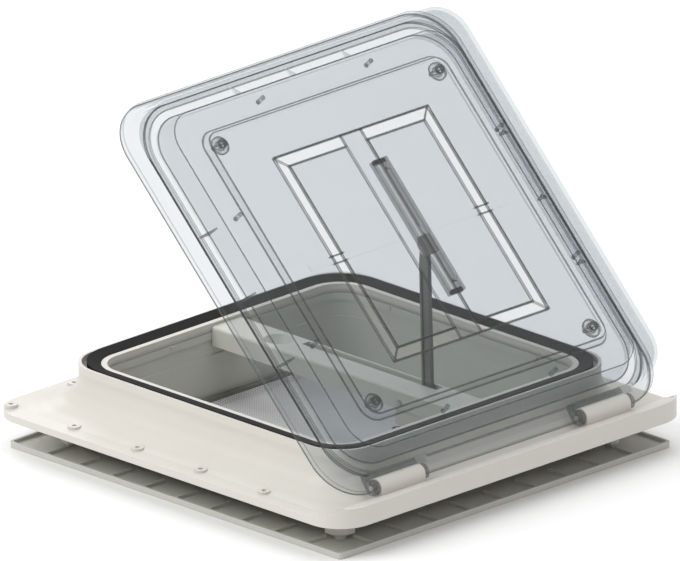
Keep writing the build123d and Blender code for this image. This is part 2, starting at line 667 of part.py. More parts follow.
land_top = lid_z(PANE_LAND_Z + PANE_T)
lid_inside = lid_z(LID_TOP - LID_WALL)
spacers = []
spacer_x = PANE_STEP + SPACER_OUT
for turn in range(4):
    for side in (-1, 1):
        pip = rod_z(spacer_x, side * SPACER_OFFSET, SPACER_R, land_top, lid_inside, SCREW_SIDES)
        spacers.append(pip.rotate(Axis.Z, 90 * turn))
save(set_at_rest(spacers), "pane_spacers")

plugs = []
plug_low = panel_low - PLUG_H
bar_half = PLUG_BAR_W / 2
for x, y in corner_points(plug_line):
    plug = rod_z(x, y, PLUG_R, plug_low, panel_low, PLUG_SIDES)
    reach = PLUG_R - SINK
    grip = block(x - bar_half, x + bar_half, y - reach, y + reach, plug_low - PLUG_BAR_H, plug_low)
    stem = rod_z(x, y, PLUG_STEM_R, panel_low, panel_high, BOSS_SIDES)
    cap = rod_z(x, y, PLUG_CAP_R, panel_high, panel_high + PLUG_CAP_H, BOSS_SIDES)
    plugs.append(plug + [grip, stem, cap])
save(set_at_rest(plugs), "pane_plugs")


# Hinges: covers over the frame's knuckles, pins and the lid's lugs
pins = []
lugs = []
for sign, name in ((-1, "right"), (1, "left")):
    y0, y1 = span(sign, BARREL_IN, BARREL_OUT)
    cover = rod_y(HINGE_X, HINGE_Z, BARREL_R, y0, y1)
    cover = cover - rod_y(HINGE_X, HINGE_Z, KNUCKLE_R + FIT, y0 - SINK, y1 + SINK)
    cover = cover & block(HINGE_X - BARREL_R, HINGE_X + BARREL_R, y0, y1, HINGE_Z, HINGE_Z + BARREL_R)
    mark_y0 = (y0 + y1 - COVER_MARK_L) / 2
    mark_x0 = HINGE_X - COVER_MARK_W / 2
    mark_z = HINGE_Z + BARREL_R - COVER_MARK
    mark = block(mark_x0, mark_x0 + COVER_MARK_W, mark_y0, mark_y0 + COVER_MARK_L, mark_z, mark_z + BARREL_R)
    save(cover - mark, f"hinge_cover_{name}")
    y0, y1 = span(sign, BARREL_IN - LUG_GAP - LUG_T, BARREL_OUT + LUG_GAP + LUG_T)
    pins.append(rod_y(HINGE_X, HINGE_Z, HINGE_PIN_R, y0, y1))
    plate_top = lid_z(LID_BOTTOM)
    plate_low = plate_top - LUG_PLATE_T
    x0 = flare_half(plate_low - LUG_CLEAR)
    x1 = notch_x + RUN
    lug = block(x0, x1, y0, y1, plate_low, plate_top)
    outline = [(x0, plate_low), (HINGE_X, HINGE_Z - LUG_R), (HINGE_X, HINGE_Z + LUG_R / 2)]
    outline += [(x1, plate_top), (x0, plate_top)]
    for a in (y0, y1 - LUG_T):
        eye = rod_y(HINGE_X, HINGE_Z, LUG_R, a, a + LUG_T, BOSS_SIDES)
        lug = lug + [side_plate(outline, a, a + LUG_T), eye]
    lugs.append(lug - rod_y(HINGE_X, HINGE_Z, HINGE_PIN_R + RUN, y0 - SINK, y1 + SINK))
save(joined(pins), "hinge_pins")
save(set_at_rest(lugs), "hinge_lugs")


# Rail on the lid, open downwards, in which the shoe of the arm runs
cavity_low = lid_z(RAIL_BOTTOM + RAIL_WALL)
cavity_high = panel_low - RAIL_WALL
cavity_half = RAIL_W / 2 - RAIL_WALL
slot_half = ARM_T / 2 + 2 * FIT + CHEEK_T
rail = block(rail_x0, rail_x1, ARM_Y - RAIL_W / 2, ARM_Y + RAIL_W / 2, lid_z(RAIL_BOTTOM), panel_low)
ends = (rail_x0 - SINK, rail_x1 + SINK)
rail = rail - [
    block(*ends, ARM_Y - cavity_half, ARM_Y + cavity_half, cavity_low, cavity_high),
    block(*ends, ARM_Y - slot_half, ARM_Y + slot_half, lid_z(RAIL_BOTTOM) - SINK, cavity_low + SINK),
    *[rod_z(x, ARM_Y, RAIL_SCREW_R + RUN, cavity_high - SINK, above, SCREW_SIDES) for x in rail_screw_xs],
]
save(at_rest(rail), "lid_rail")

cap_half = cavity_half - FIT
caps = []
for x0 in (rail_x0, rail_x1 - RAIL_CAP):
    caps.append(block(x0, x0 + RAIL_CAP, ARM_Y - cap_half, ARM_Y + cap_half, cavity_low, cavity_high - FIT))
save(set_at_rest(caps), "rail_end_caps")

screws = []
for x in rail_screw_xs:
    shank = rod_z(x, ARM_Y, RAIL_SCREW_R, cavity_high, panel_high, SCREW_SIDES)
    head_end = panel_high + SCREW_HEAD_T
    screws.append(shank + rod_z(x, ARM_Y, RAIL_SCREW_HEAD_R, panel_high, head_end, SCREW_SIDES))
save(set_at_rest(screws), "rail_screws")


# Shoe in the rail, and the pin that joins it to the arm
def pin_at_rest():
    """Where the circle of the arm about its pivot meets the shoe's line in the raised lid."""
    turn = math.radians(REST_ANGLE)
    along = Vector(-math.cos(turn), 0, math.sin(turn))
    across = Vector(math.sin(turn), 0, math.cos(turn))
    start = Vector(HINGE_X, 0, HINGE_Z) + across * (RAIL_BOTTOM - SHOE_DROP)
    offset = start - Vector(ARM_FOOT_X, 0, ARM_FOOT_Z)
    back = offset.dot(along)
    reach = math.sqrt(back ** 2 - offset.dot(offset) + ARM_LENGTH ** 2) - back
    return start + along * reach


pin = pin_at_rest()
arm_angle = math.degrees(math.atan2(pin.Z - ARM_FOOT_Z, ARM_FOOT_X - pin.X))
cheek_in = ARM_T / 2 + FIT
cheek_out = cheek_in + CHEEK_T
slider_low = RAIL_WALL + SHOE_PLAY + SHOE_PIN_MEAN
slider_high = RAIL_H - RAIL_WALL - SHOE_PLAY + SHOE_PIN_MEAN
slider_mid = (slider_low + slider_high) / 2
half = SHOE_LEN / 2
shoe = block(-half, half, ARM_Y - cap_half, ARM_Y + cap_half, slider_low, slider_high)
outline = [(-half, slider_mid), (-half, SHOE_PIN_R), (-CHEEK_R, -CHEEK_R)]
outline += [(-x, z) for x, z in reversed(outline)]
for sign in (-1, 1):
    y0, y1 = span(sign, cheek_in, cheek_out)
    shoe = shoe + side_plate(outline, ARM_Y + y0, ARM_Y + y1)
shoe = shoe - rod_y(0, 0, SHOE_PIN_R + RUN, ARM_Y - RAIL_W, ARM_Y + RAIL_W)
save(Pos(pin.X, 0, pin.Z) * shoe.rotate(Axis.Y, REST_ANGLE), "rail_shoe")
save(rod_y(pin.X, pin.Z, SHOE_PIN_R, ARM_Y - cheek_out, ARM_Y + cheek_out), "shoe_pin")


# Lift arm, drawn along -X and turned up to its rest angle
eye_x = -ARM_LENGTH
half = ARM_W / 2
neck = eye_x + 4 * ARM_EYE_R
arm_y0 = ARM_Y - ARM_T / 2
arm_y1 = ARM_Y + ARM_T / 2
outline = [(0, half), (neck, half), (eye_x, ARM_EYE_R), (eye_x, -ARM_EYE_R), (neck, -half), (0, -half)]
arm = side_plate(outline, arm_y0, arm_y1)
arm = arm + [rod_y(eye_x, 0, ARM_EYE_R, arm_y0, arm_y1), rod_y(0, 0, ARM_HUB_R, arm_y0, arm_y1)]
arm = arm - rod_y(0, 0, PIVOT_R + RUN, arm_y0 - SINK, arm_y1 + SINK)
arm = arm - rod_y(eye_x, 0, SHOE_PIN_R + RUN, arm_y0 - SINK, arm_y1 + SINK)
for y0, y1 in ((arm_y0 - SINK, arm_y0 + ARM_FLUTE), (arm_y1 - ARM_FLUTE, arm_y1 + SINK)):
    arm = arm - block(neck + half, -ARM_HUB_R - half, y0, y1, 2 * ARM_FLUTE - half, half - 2 * ARM_FLUTE)
save(Pos(ARM_FOOT_X, 0, ARM_FOOT_Z) * arm.rotate(Axis.Y, arm_angle), "lift_arm")


# Worm wheel beside the arm's foot
worm_pitch = math.pi * GEAR_MODULE
wheel_r = GEAR_MODULE * WHEEL_TEETH / 2
root_r = wheel_r - 1.25 * GEAR_MODULE
tip_r = wheel_r + GEAR_MODULE
hub_r = 2 * PIVOT_R
wheel_y1 = arm_y0 - WHEEL_GAP
wheel_y0 = wheel_y1 - WHEEL_T
wheel = rod_y(0, 0, root_r, wheel_y0, wheel_y1) + rod_y(0, 0, hub_r, wheel_y0, arm_y0)
root_w = TOOTH_ROOT * worm_pitch / 2
tip_w = TOOTH_TIP * worm_pitch / 2
tooth_x = root_r - GEAR_MODULE / 2
outline = [(tooth_x, -root_w), (tip_r, -tip_w), (tip_r, tip_w), (tooth_x, root_w)]
tooth = side_plate(outline, wheel_y0, wheel_y1)
teeth = [tooth.rotate(Axis.Y, 360 / WHEEL_TEETH * (i + 0.5)) for i in range(WHEEL_TEETH)]
wheel = wheel + teeth - rod_y(0, 0, PIVOT_R + RUN, wheel_y0 - SINK, arm_y0 + SINK)
save(Pos(ARM_FOOT_X, 0, ARM_FOOT_Z) * wheel, "worm_wheel")


# Worm and its upright shaft
def worm_thread(core, crest):
    """The right-handed thread: a tapered section set round the helix, closed by flat triangles."""
    root_w = THREAD_ROOT * worm_pitch / 2
    tip_w = THREAD_TIP * worm_pitch / 2
    points = [(core, -root_w), (crest, -tip_w), (crest, tip_w), (core, root_w)]
    sections = []
    for i in range(WORM_TURNS * WORM_SIDES + 1):
        turn = 2 * math.pi * i / WORM_SIDES
        rise = worm_pitch * i / WORM_SIDES
        sections.append([(r * math.cos(turn), r * math.sin(turn), z + rise) for r, z in points])
    outlines = [sections[0], sections[-1]]
    for low, high in zip(sections, sections[1:]):
        for i in range(4):
            outlines.append([low[i - 1], low[i], high[i]])
            outlines.append([low[i - 1], high[i], high[i - 1]])
    return Solid(Shell([make_face(Polyline(*points, close=True)).face() for points in outlines]))


shaft_x = ARM_FOOT_X + wheel_r + WORM_R
shaft_y = (wheel_y0 + wheel_y1) / 2
thread_z = ARM_FOOT_Z - worm_pitch * (WORM_TURNS // 2 + 0.5)
core_r = WORM_R - 1.25 * GEAR_MODULE
thread = Pos(shaft_x, shaft_y, thread_z) * worm_thread(core_r - SINK, WORM_R + GEAR_MODULE)
shaft_top = BEAM_TOP - BEAM_WALL - 2 * FIT
box_floor = BOX_BOTTOM + BEAM_WALL
shelf_z = shaft_top - BEAM_WALL
hub_top = BOX_BOTTOM - CRANK_GAP
hub_low = hub_top - CRANK_HUB_T
worm = rod_z(shaft_x, shaft_y, SHAFT_R, hub_top, shaft_top)
worm = worm + rod_z(shaft_x, shaft_y, core_r, thread_z - worm_pitch, shelf_z - FIT, WORM_SIDES)
worm = worm + rod_z(shaft_x, shaft_y, core_r + SINK, box_floor + FIT, box_floor + COLLAR_H, BOSS_SIDES)
half = SHAFT_SQUARE / 2
drive = block(shaft_x - half, shaft_x + half, shaft_y - half, shaft_y + half, hub_low, hub_top)
worm = (worm + [thread, drive]) - rod_z(
    shaft_x, shaft_y, RAIL_SCREW_R + RUN, hub_low - SINK, hub_low + CRANK_BITE + SINK, SCREW_SIDES
)
save(worm, "worm_shaft")


# Gearbox housing inside the beam
box_x0 = ARM_FOOT_X - tip_r - BEAM_WALL - SINK
box_x1 = box_x0 + BOX_LEN
box_y0 = BEAM_Y0 + BEAM_WALL + FIT
box_y1 = BEAM_Y1 - BEAM_WALL - FIT
box_top = BEAM_TOP - BEAM_WALL - FIT
bush_r = SHAFT_R + RUN + BUSH_WALL
slot_y0 = arm_y0 - SLOT_GAP
slot_y1 = arm_y1 + SLOT_GAP
housing = block(box_x0, box_x1, box_y0, box_y1, BOX_BOTTOM, box_top)
housing = fillet(housing.edges().filter_by(Axis.Y).sort_by(Axis.Z)[:2], BOX_R)
inside = (box_x0 + BEAM_WALL, box_x1 - BEAM_WALL, box_y0 + BEAM_WALL, box_y1 - BEAM_WALL)
housing = housing - block(*inside, box_floor, box_top + SINK)
web_y1 = wheel_y0 - FIT - SINK
web_y0 = web_y1 - BEAM_WALL
web_top = ARM_FOOT_Z + ARM_HUB_R
web = block(box_x0 + SINK, shaft_x - 2 * bush_r, web_y0, web_y1, box_floor - SINK, web_top)
boss = rod_y(ARM_FOOT_X, ARM_FOOT_Z, hub_r, arm_y1 + FIT, box_y1 - SINK)
shelf_x0 = shaft_x - bush_r - BEAM_WALL
shelf_x1 = shaft_x + WORM_R + GEAR_MODULE + SINK + BEAM_WALL
shelf = block(shelf_x0, shelf_x1, box_y0 + SINK, arm_y0 - 2 * FIT, shelf_z, box_top)
shelf_web = block(shelf_x1 - BEAM_WALL, shelf_x1, box_y0 + SINK, box_y1 - SINK, box_floor - SINK, box_top)
housing = housing + [web, boss, shelf, shelf_web]
box_screw_z = beam_mid - BEAM_WALL
box_screw_xs = [box_x0 + BOX_SCREW_INSET, box_x1 - BOX_SCREW_INSET]
out = (BEAM_Y0 - SINK, BEAM_Y1 + SINK)
box_holes = [rod_y(x, box_screw_z, BOX_SCREW_R + RUN, *out, SCREW_SIDES) for x in box_screw_xs]
gate = (box_x0 - SINK, box_x0 + BEAM_WALL + SINK, slot_y0, slot_y1)
housing = housing - [
    rod_y(ARM_FOOT_X, ARM_FOOT_Z, PIVOT_R + RUN, web_y0 - SINK, box_y1 + SINK),
    rod_z(shaft_x, shaft_y, bush_r + RUN, BOX_BOTTOM - SINK, box_floor + SINK, SCREW_SIDES),
    rod_z(shaft_x, shaft_y, bush_r + RUN, shelf_z - SINK, box_top + SINK, SCREW_SIDES),
    block(*gate, ARM_FOOT_Z - ARM_HUB_R, box_top + SINK),
    *box_holes,
]
save(housing, "gearbox_housing")
save(rod_y(ARM_FOOT_X, ARM_FOOT_Z, PIVOT_R, web_y0, box_y1), "arm_pivot_pin")

bushes = []
for z0, z1 in ((BOX_BOTTOM, box_floor), (shelf_z, box_top)):
    bush = rod_z(shaft_x, shaft_y, bush_r, z0, z1, SCREW_SIDES)
    bushes.append(bush - rod_z(shaft_x, shaft_y, SHAFT_R + RUN, z0 - SINK, z1 + SINK))
save(joined(bushes), "worm_bearings")


# Crossbeam over the opening
beam_half = LINER_IN - FIT
beam = block(-beam_half, beam_half, BEAM_Y0, BEAM_Y1, BEAM_BOTTOM, BEAM_TOP)
beam = fillet(beam.edges().filter_by(Axis.X).sort_by(Axis.Z)[-2:], BEAM_R)
inside = (BEAM_WALL - beam_half, beam_half - BEAM_WALL, BEAM_Y0 + BEAM_WALL, BEAM_Y1 - BEAM_WALL)
beam = beam - block(*inside, BEAM_BOTTOM - SINK, BEAM_TOP - BEAM_WALL)
slot_x0 = ARM_FOOT_X - ARM_LENGTH - SLOT_END
dish_x = slot_x0 - DISH_GAP - DISH_R
dish_r = DISH_R - DISH_DEPTH * math.tan(math.radians(DISH_DRAFT))
dish_mid = BEAM_TOP - DISH_DEPTH / 2
bowl = Pos(dish_x, beam_axis, dish_mid) * Cone(dish_r, DISH_R, DISH_DEPTH)
cup = Pos(dish_x, beam_axis, dish_mid - BEAM_WALL) * Cone(dish_r + BEAM_WALL, DISH_R + BEAM_WALL, DISH_DEPTH)
slot = block(slot_x0, ARM_FOOT_X + SLOT_HEEL, slot_y0, slot_y1, BEAM_BOTTOM, BEAM_TOP + SINK)
beam = (beam + cup) - ([bowl, slot] + box_holes + beam_holes)
save(beam, "crossbeam")

screws = []
head_x = beam_half - BEAM_WALL
for sign in (-1, 1):
    x0, x1 = span(sign, head_x, LINER_OUT + SINK)
    shank = rod_x(beam_axis, beam_mid, BEAM_SCREW_R, x0, x1, SCREW_SIDES)
    x0, x1 = span(sign, head_x - SCREW_HEAD_T, head_x)
    screws.append(shank + rod_x(beam_axis, beam_mid, BEAM_SCREW_HEAD_R, x0, x1, SCREW_SIDES))
save(joined(screws), "beam_screws")

screws = []
for x in box_screw_xs:
    for face, sign in ((BEAM_Y0, -1), (BEAM_Y1, 1)):
        y0, y1 = sorted((face, face - sign * 2 * BEAM_WALL))
        shank = rod_y(x, box_screw_z, BOX_SCREW_R, y0, y1, SCREW_SIDES)
        y0, y1 = sorted((face, face + sign * SCREW_HEAD_T))
        screws.append(shank + rod_y(x, box_screw_z, BOX_SCREW_HEAD_R, y0, y1, SCREW_SIDES))
save(joined(screws), "gearbox_screws")


# Crank below the gearbox
tip_x = shaft_x + CRANK_R * math.cos(math.radians(CRANK_ANGLE))
tip_y = shaft_y + CRANK_R * math.sin(math.radians(CRANK_ANGLE))
tip_r = KNOB_PIN_R + CRANK_T / 2 + SINK
crank_top = hub_low + CRANK_T
hub_w = CRANK_HUB_R - CRANK_WAIST
tip_w = tip_r - CRANK_WAIST
crank = rod_z(0, 0, CRANK_HUB_R, hub_low, hub_top, PLUG_SIDES)
crank = crank + rod_z(CRANK_R, 0, tip_r, hub_low, crank_top, BOSS_SIDES)
outline = [(0, -hub_w), (CRANK_R, -tip_w), (CRANK_R, tip_w), (0, hub_w)]
crank = crank + plan_plate(outline, hub_low, crank_top)
half = SHAFT_SQUARE / 2 + RUN
square_hole = block(-half, half, -half, half, hub_low - SINK, hub_top + SINK).rotate(Axis.Z, -CRANK_ANGLE)
crank = crank - [square_hole, rod_z(CRANK_R, 0, KNOB_PIN_R + RUN, hub_low - SINK, crank_top + SINK)]
save(Pos(shaft_x, shaft_y, 0) * crank.rotate(Axis.Z, CRANK_ANGLE), "crank_arm")
screw = rod_z(shaft_x, shaft_y, RAIL_SCREW_R, hub_low, hub_low + CRANK_BITE, SCREW_SIDES)
head = rod_z(shaft_x, shaft_y, CRANK_HUB_R - 2 * CRANK_WAIST, hub_low - SCREW_HEAD_T, hub_low, BOSS_SIDES)
save(screw + head, "crank_screw")
knob_top = hub_low - FIT
knob_low = knob_top - KNOB_LEN
knob_pin = rod_z(tip_x, tip_y, KNOB_PIN_R, knob_low, crank_top)
head = rod_z(tip_x, tip_y, KNOB_PIN_R + KNOB_HEAD, knob_low - KNOB_HEAD, knob_low, SCREW_SIDES)
save(knob_pin + head, "knob_pin")
waist = math.degrees(math.atan(KNOB_WAIST / (KNOB_LEN / 2)))
knob = extrude(RegularPolygon(KNOB_R, KNOB_SIDES), amount=KNOB_LEN / 2, taper=waist)
knob = knob + knob.mirror(Plane.XY.offset(KNOB_LEN / 2))
knob = Pos(tip_x, tip_y, knob_low) * knob
recess_r = KNOB_PIN_R + KNOB_HEAD + FIT
knob = knob - [
    rod_z(tip_x, tip_y, KNOB_PIN_R + RUN, knob_low - SINK, knob_top + SINK),
    rod_z(tip_x, tip_y, recess_r, knob_low - SINK, knob_low + FIT, SCREW_SIDES),
]
save(knob, "crank_knob")


# Side rails of net and blind
rail_y1 = LINER_IN - FIT
rail_y0 = rail_y1 - RAIL_DEPTH
rail_half = LINER_IN - LINER_FOOT_R
for sign, name in ((-1, "right"), (1, "left")):
    y0, y1 = span(sign, rail_y0, rail_y1)
    rail = block(-rail_half, rail_half, y0, y1, TRAY_BOTTOM + FIT, NET_Z + RAIL_RISE)
    y0, y1 = span(sign, rail_y0 - SINK, rail_y1 - RAIL_BACK)
    for z, height in ((NET_Z, NET_GROOVE), (BLIND_Z, BLIND_GROOVE)):
        groove = block(-rail_half - SINK, rail_half + SINK, y0, y1, z - height / 2, z + height / 2)
        rail = rail - groove
    save(rail, f"side_rail_{name}")


# Pull bars with shoes that run in the side rails
bar_half_y = rail_y0 - GROOVE_GAP
bar_shoe_end = rail_y1 - RAIL_BACK - GROOVE_GAP
bar_x0 = -rail_half
bar_x1 = bar_x0 + BAR_W
pull_bars = (("net", NET_Z, NET_BAR_H, NET_GROOVE), ("blind", BLIND_Z, BLIND_BAR_H, BLIND_GROOVE))
for name, z, height, groove in pull_bars:
    bar = block(bar_x0, bar_x1, -bar_half_y, bar_half_y, z - height / 2, z + height / 2)
    bar = chamfer(bar.edges().filter_by(Axis.Y), BAR_R)
    grip_x = bar_x1 + GRIP_R - SINK
    bar = bar - rod_y(grip_x, z + height / 2, GRIP_R, -GRIP_HALF, GRIP_HALF, BOSS_SIDES)
    save(bar, f"{name}_bar")
    half = groove / 2 - GROOVE_GAP
    ends = []
    for sign in (-1, 1):
        y0, y1 = span(sign, bar_half_y, bar_shoe_end)
        ends.append(block(bar_x0, bar_x1, y0, y1, z - half, z + half))
    save(joined(ends), f"{name}_bar_shoes")


# Rollers and their brackets, outside the liner
roller_x = LINER_OUT + ROLLER_BACK
roller_half = CLOTH_HALF + ROLLER_MARGIN
wound_r = ROLLER_R + WOUND_T
blind_half = CLOTH_HALF - 2 * ROLLER_MARGIN
net_roller_z = NET_Z + ROLLER_R
blind_roller_z = BLIND_Z + wound_r
brackets = []
for name, sx, z in (("net", 1, net_roller_z), ("blind", -1, blind_roller_z)):
    x = sx * roller_x
    hollow = roller_half - ROLLER_END
    tube = rod_y(x, z, ROLLER_R, -roller_half, roller_half, PLUG_SIDES)
    tube = tube - rod_y(x, z, ROLLER_BORE_R, -hollow, hollow, BOSS_SIDES)
    tube = tube - rod_y(x, z, STUB_R + RUN, -roller_half - SINK, roller_half + SINK)
    save(tube, f"{name}_roller")
    for sy in (-1, 1):
        y0, y1 = span(sy, roller_half + FIT, roller_half + FIT + BRACKET_T)
        plate = block(x - BRACKET_R, x + BRACKET_R, y0, y1, TRAY_FLOOR, z + BRACKET_R)
        y0, y1 = span(sy, roller_half - STUB_LEN, roller_half + FIT + BRACKET_T)
        brackets.append(plate + rod_y(x, z, STUB_R, y0, y1, BOSS_SIDES))
save(joined(brackets), "roller_brackets")
wound = rod_y(-roller_x, blind_roller_z, wound_r, -blind_half, blind_half, PLUG_SIDES)
hole_half = blind_half + SINK
wound = wound - rod_y(-roller_x, blind_roller_z, ROLLER_R + RUN, -hole_half, hole_half, PLUG_SIDES)
save(wound, "blind_roll")


# Net across the opening and the short drawn end of the blind
net_x0 = bar_x1 + FIT
net_low = NET_Z - FIT - CLOTH_T
pitch_x = (roller_x - net_x0 - NET_STRAND) / NET_CELLS
pitch_y = (2 * CLOTH_HALF - NET_STRAND) / NET_CELLS
net_place = Pos((net_x0 + roller_x) / 2, 0, net_low)
gap = Rectangle(pitch_x - NET_STRAND, pitch_y - NET_STRAND)
gaps = [net_place * place * gap for place in GridLocations(pitch_x, pitch_y, NET_CELLS, NET_CELLS)]
net_face = net_place * Rectangle(roller_x - net_x0, 2 * CLOTH_HALF) - gaps
save(extrude(net_face, amount=CLOTH_T, dir=(0, 0, 1)), "net_mesh")
blind_top = BLIND_Z - FIT
blind = block(-roller_x, bar_x0 - FIT, -blind_half, blind_half, blind_top - CLOTH_T, blind_top)
save(blind, "blind_cloth")
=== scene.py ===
import bpy
import json
import math
import numpy as np
from mathutils import Matrix, Vector


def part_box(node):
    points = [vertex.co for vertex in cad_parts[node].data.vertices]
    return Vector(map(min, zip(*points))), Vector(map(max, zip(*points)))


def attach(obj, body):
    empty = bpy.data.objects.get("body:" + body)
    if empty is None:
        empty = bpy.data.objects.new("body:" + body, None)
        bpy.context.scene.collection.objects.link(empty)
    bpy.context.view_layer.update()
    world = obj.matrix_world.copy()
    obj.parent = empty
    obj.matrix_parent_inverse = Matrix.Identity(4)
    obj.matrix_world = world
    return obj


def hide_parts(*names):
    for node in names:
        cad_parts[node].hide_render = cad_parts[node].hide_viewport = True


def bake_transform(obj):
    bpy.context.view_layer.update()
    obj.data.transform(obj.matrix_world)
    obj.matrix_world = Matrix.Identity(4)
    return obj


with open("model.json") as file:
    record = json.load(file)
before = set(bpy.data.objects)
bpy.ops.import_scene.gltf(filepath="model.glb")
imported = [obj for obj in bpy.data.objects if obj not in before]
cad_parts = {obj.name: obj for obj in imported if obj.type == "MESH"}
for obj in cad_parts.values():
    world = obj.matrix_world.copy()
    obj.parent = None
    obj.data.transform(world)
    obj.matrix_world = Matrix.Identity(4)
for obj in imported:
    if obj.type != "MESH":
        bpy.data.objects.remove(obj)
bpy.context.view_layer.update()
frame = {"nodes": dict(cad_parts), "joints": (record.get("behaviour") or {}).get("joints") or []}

scene = bpy.context.scene


# Studio: the photograph is a parallel view from 20 degrees above the horizon, straight onto the
# corner between the hinge side and the right side. One millimetre is 1.018 pixels there, and the
# centre of the roof opening lies 131 mm below the middle of the picture.
picture_width = 0.668
opening_drop = 0.1312
camera_distance = 3.0
right = Vector((0.7071, 0.7071, 0.0))
up = Vector((-0.2418, 0.2418, 0.9397))
back = right.cross(up)
lens = bpy.data.cameras.new("studio_camera")
lens.type = "ORTHO"
lens.ortho_scale = picture_width
lens.clip_end = 20.0
camera = bpy.data.objects.new("studio_camera", lens)
scene.collection.objects.link(camera)
camera_turn = Matrix((right, up, back)).transposed().to_4x4()
camera.matrix_world = Matrix.Translation(up * opening_drop + back * camera_distance) @ camera_turn
scene.camera = camera
scene.view_settings.view_transform = "Standard"
sheets_in_a_row = 32
scene.cycles.transparent_max_bounces = sheets_in_a_row

sky_strength = 0.62
world = bpy.data.worlds.new("studio_light")
world.use_nodes = True
sky = world.node_tree.nodes["Background"]
sky.inputs["Color"].default_value = (1.0, 1.0, 1.0, 1.0)
sky.inputs["Strength"].default_value = sky_strength
scene.world = world
lit_point = Vector((0.0, 0.0, 0.1))


def soft_box(name, place, width, watts):
    """A square area light at place that faces the middle of the hatch."""
    light = bpy.data.lights.new(name, "AREA")
    light.shape = "SQUARE"
    light.size = width
    light.energy = watts
    lamp = bpy.data.objects.new(name, light)
    scene.collection.objects.link(lamp)
    turn = (lit_point - Vector(place)).to_track_quat("-Z", "Y")
    lamp.matrix_world = Matrix.Translation(place) @ turn.to_matrix().to_4x4()


soft_box("left_soft_box", (-0.6, -2.2, 2.0), width=1.6, watts=40)
soft_box("top_soft_box", (0.3, 0.2, 2.6), width=2.0, watts=22)
soft_box("rear_soft_box", (-2.2, 1.2, 1.6), width=1.4, watts=18)


# Floor: a plain pale sheet that carries the tray's lower face, painted matt. Its paint is the first
# finish, so the two classes that every finish is written with stand here.
class Value:
    """A socket of a finish. Arithmetic on it adds Math nodes."""

    def __init__(self, finish, socket):
        self.finish = finish
        self.socket = socket

    def math(self, operation, *others):
        return self.finish.node("Math", {"operation": operation}, dict(enumerate((self,) + others)))

    def __add__(self, other):
        return self.math("ADD", other)

    __radd__ = __add__

    def __mul__(self, other):
        return self.math("MULTIPLY", other)

    __rmul__ = __mul__

    def __sub__(self, other):
        return self.math("SUBTRACT", other)

    def __rsub__(self, other):
        return self.finish.node("Math", {"operation": "SUBTRACT"}, {0: other, 1: self})

    def __truediv__(self, other):
        return self.math("DIVIDE", other)

    def __pow__(self, other):
        return self.math("POWER", other)

    def __lt__(self, other):
        return self.math("LESS_THAN", other)

    def __gt__(self, other):
        return self.math("GREATER_THAN", other)

    def fraction(self):
        return self.math("FRACT")

    def size(self):
        return self.math("ABSOLUTE")

    def most(self, other):
        return self.math("MAXIMUM", other)

    def least(self, other):
        return self.math("MINIMUM", other)

    def between(self, low, high):
        """1 from low to high, and 0 elsewhere."""
        return (self > low) * (self < high)

    def near(self, level, width):
        """1 at the level, falling evenly to 0 a width away on either side."""
        return (1.0 - (self - level).size() / width).most(0.0)


class Finish:
    """A material that is being put together, one node at a time."""

    def __init__(self, name):
        self.material = bpy.data.materials.new(name)
        self.material.use_nodes = True
        self.tree = self.material.node_tree
        self.tree.nodes.clear()

    def node(self, kind, settings=None, inputs=None, out=0):
        """A new node: its settings first, then the values or links of its sockets."""
        made = self.tree.nodes.new("ShaderNode" + kind)
        for key, value in (settings or {}).items():
            setattr(made, key, value)
        for key, value in (inputs or {}).items():
            if isinstance(value, Value):
                self.tree.links.new(value.socket, made.inputs[key])
            else:
                made.inputs[key].default_value = value
        return Value(self, made.outputs[out]) if made.outputs else None

    def place(self):
        """Object coordinates, which are metres in the hatch's own frame."""
        return self.node("TexCoord", out="Object")

    def stretched(self, along, across, upright):
        """Object coordinates times one number for each axis, which draws a noise out into lines."""
        per_metre = (along, across, upright)
        return self.node("VectorMath", {"operation": "MULTIPLY"}, {0: self.place(), 1: per_metre})

    def split(self, vector):
        """The three numbers of a vector."""
        first = self.node("SeparateXYZ", {}, {0: vector})
        return [Value(self, socket) for socket in first.socket.node.outputs]

    def turned_away(self):
        """0 where the surface faces the eye, and 1 where it is seen edge on."""
        return self.node("LayerWeight", {}, {"Blend": 0.5}, out="Facing")

    def noise(self, at, scale, detail=2.0):
        """Soft clouds between 0 and 1, about so many to a unit of length."""
        return self.node("TexNoise", {}, {"Vector": at, "Scale": scale, "Detail": detail})

    def mix(self, share, first, second):
        """Two colours mixed by share."""
        return self.node("Mix", {"data_type": "RGBA"}, {0: share, 6: first, 7: second}, out=2)

    def bump(self, height, strength, distance, normal=None):
        """The normal of a surface that rises by height times distance."""
        inputs = {"Height": height, "Strength": strength, "Distance": distance}
        if normal:
            inputs["Normal"] = normal
        return self.node("Bump", {}, inputs)

    def principled(self, **sockets):
        """One Principled shader with these sockets, spaces written as underscores."""
        spelled = {key.replace("_", " "): value for key, value in sockets.items()}
        return self.node("BsdfPrincipled", {}, spelled)

    def show(self, shader):
        """Ends the finish in a shader."""
        self.node("OutputMaterial", {}, {"Surface": shader})
        return self.material

    def shaded(self, **sockets):
        """Ends the finish in one Principled shader."""
        return self.show(self.principled(**sockets))


def colour(red, green, blue):
    """A colour as the sockets take it, with an alpha of 1."""
    return (red, green, blue, 1.0)


